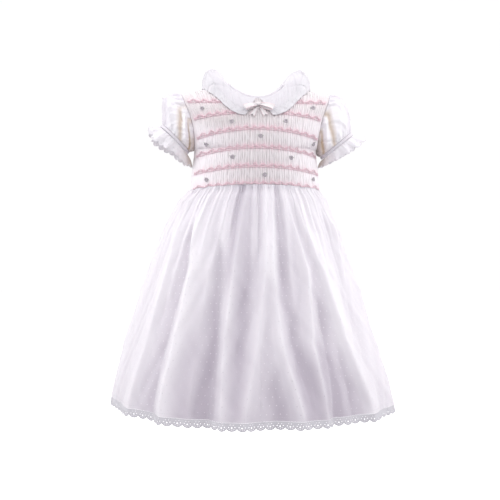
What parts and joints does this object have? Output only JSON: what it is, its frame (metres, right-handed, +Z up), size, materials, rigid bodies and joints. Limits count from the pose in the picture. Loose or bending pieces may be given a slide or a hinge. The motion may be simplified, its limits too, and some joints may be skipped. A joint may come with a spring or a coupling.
{
  "type": "toddler dress",
  "caption": "Worn-form toddler party dress with a smocked front, frilled collar, puff sleeves and a full gathered skirt, held up at the shoulders and open below.",
  "frame": {"origin": "on the centre plane, level with the neck-shoulder points, where the dress hangs on its wearer's shoulders", "axes": "+Z up, -Y is the dress's front, +X is the wearer's left side, on the right as seen from the front"},
  "size_m": [0.4415, 0.3466, 0.535],
  "materials": {
    "smocked_cotton": "finely pleated white cotton with pink smocking thread",
    "dotted_voile": "white cotton voile with small woven white dots",
    "cotton_lace": "gathered and scalloped white cotton lace",
    "satin_ribbon": "narrow white ribbon with a pale pink tint",
    "shell_button": "small white button with a soft shine",
    "embroidery_thread": "soft pink, lavender and green cotton thread worked on the smocked front"
  },
  "bodies": {
    "root": {"bodice_front": "smocked_cotton", "bodice_back_left": "dotted_voile", "bodice_back_right": "dotted_voile", "neck_band": "dotted_voile", "back_button_1": "shell_button", "back_button_2": "shell_button", "back_button_3": "shell_button", "back_button_4": "shell_button", "collar_left": "dotted_voile", "collar_right": "dotted_voile", "collar_lace_left": "cotton_lace", "collar_lace_right": "cotton_lace", "sleeve_left": "dotted_voile", "sleeve_right": "dotted_voile", "cuff_band_left": "dotted_voile", "cuff_band_right": "dotted_voile", "cuff_frill_left": "cotton_lace", "cuff_frill_right": "cotton_lace", "skirt_front": "dotted_voile", "skirt_back": "dotted_voile", "hem_lace_front": "cotton_lace", "hem_lace_back": "cotton_lace", "bow_knot": "satin_ribbon", "bow_loop_left": "satin_ribbon", "bow_loop_right": "satin_ribbon", "bow_tail_left": "satin_ribbon", "bow_tail_right": "satin_ribbon"}
  },
  "joints": []
}
